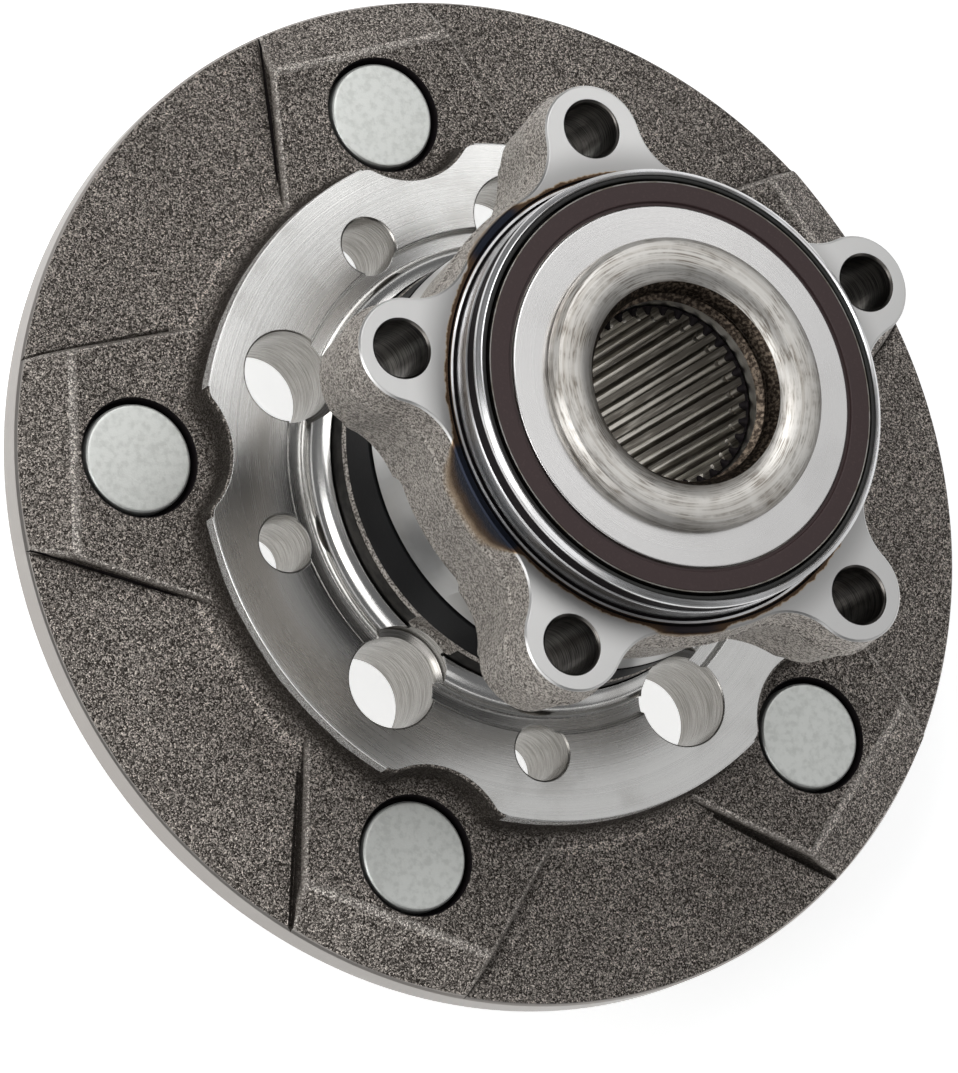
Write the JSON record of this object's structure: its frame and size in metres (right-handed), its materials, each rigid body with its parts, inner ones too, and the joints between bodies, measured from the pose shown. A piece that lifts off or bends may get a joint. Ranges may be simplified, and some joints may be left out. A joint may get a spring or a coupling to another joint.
{
  "type": "wheel hub bearing",
  "caption": "Flanged hub bearing unit: wheel flange with pressed studs, eared outer ring, splined bore, rolling elements and seals inside.",
  "frame": {"origin": "centre of the face that the road wheel seats on, where the circle of the studs is centred", "axes": "+Z along the spin axis towards the vehicle (inboard); -Z points out of the wheel, along the studs; one ear of the outer ring lies on +Y"},
  "size_m": [0.208, 0.208, 0.1213],
  "materials": {
    "hub_steel": "shot-blasted forging, turned bright on the disc seat, ridge and collar",
    "ring_steel": "turned and ground bright, forged skin on the ear sides, heat tint round the spigot",
    "inner_ring_steel": "ground bright",
    "ball_steel": "polished",
    "cage_polymer": "moulded, matt",
    "seal_steel": "pressed sheet",
    "seal_rubber": "moulded, satin",
    "encoder_rubber": "magnetic rubber, matt, dark red-brown",
    "stud_steel": "zinc plated, grey"
  },
  "bodies": {
    "outer": {"outer_ring": "ring_steel", "outboard_seal_case": "seal_steel", "outboard_seal_rubber": "seal_rubber", "inboard_seal_case": "seal_steel", "inboard_seal_rubber": "seal_rubber"},
    "hub": {"hub": "hub_steel", "inner_ring": "inner_ring_steel", "slinger": "seal_steel", "encoder_ring": "encoder_rubber", "wheel_stud_1": "stud_steel", "wheel_stud_2": "stud_steel", "wheel_stud_3": "stud_steel", "wheel_stud_4": "stud_steel", "wheel_stud_5": "stud_steel"},
    "outboard_row": {"cage_outboard": "cage_polymer", "ball_outboard_01": "ball_steel", "ball_outboard_02": "ball_steel", "ball_outboard_03": "ball_steel", "ball_outboard_04": "ball_steel", "ball_outboard_05": "ball_steel", "ball_outboard_06": "ball_steel", "ball_outboard_07": "ball_steel", "ball_outboard_08": "ball_steel", "ball_outboard_09": "ball_steel", "ball_outboard_10": "ball_steel", "ball_outboard_11": "ball_steel", "ball_outboard_12": "ball_steel", "ball_outboard_13": "ball_steel", "ball_outboard_14": "ball_steel"},
    "inboard_row": {"cage_inboard": "cage_polymer", "ball_inboard_01": "ball_steel", "ball_inboard_02": "ball_steel", "ball_inboard_03": "ball_steel", "ball_inboard_04": "ball_steel", "ball_inboard_05": "ball_steel", "ball_inboard_06": "ball_steel", "ball_inboard_07": "ball_steel", "ball_inboard_08": "ball_steel", "ball_inboard_09": "ball_steel", "ball_inboard_10": "ball_steel", "ball_inboard_11": "ball_steel", "ball_inboard_12": "ball_steel", "ball_inboard_13": "ball_steel", "ball_inboard_14": "ball_steel"}
  },
  "joints": [
    {"name": "hub_spin", "type": "hinge", "parent": "outer", "child": "hub", "pos_m": [0, 0, 0.058], "axis": [0, 0, 1], "continuous": true},
    {"name": "outboard_row_spin", "type": "hinge", "parent": "outer", "child": "outboard_row", "pos_m": [0, 0, 0.046], "axis": [0, 0, 1], "continuous": true},
    {"name": "inboard_row_spin", "type": "hinge", "parent": "outer", "child": "inboard_row", "pos_m": [0, 0, 0.07], "axis": [0, 0, 1], "continuous": true}
  ],
  "couplings": [
    {"joint": "outboard_row_spin", "follows": "hub_spin", "ratio": 0.4296},
    {"joint": "inboard_row_spin", "follows": "hub_spin", "ratio": 0.4296}
  ]
}
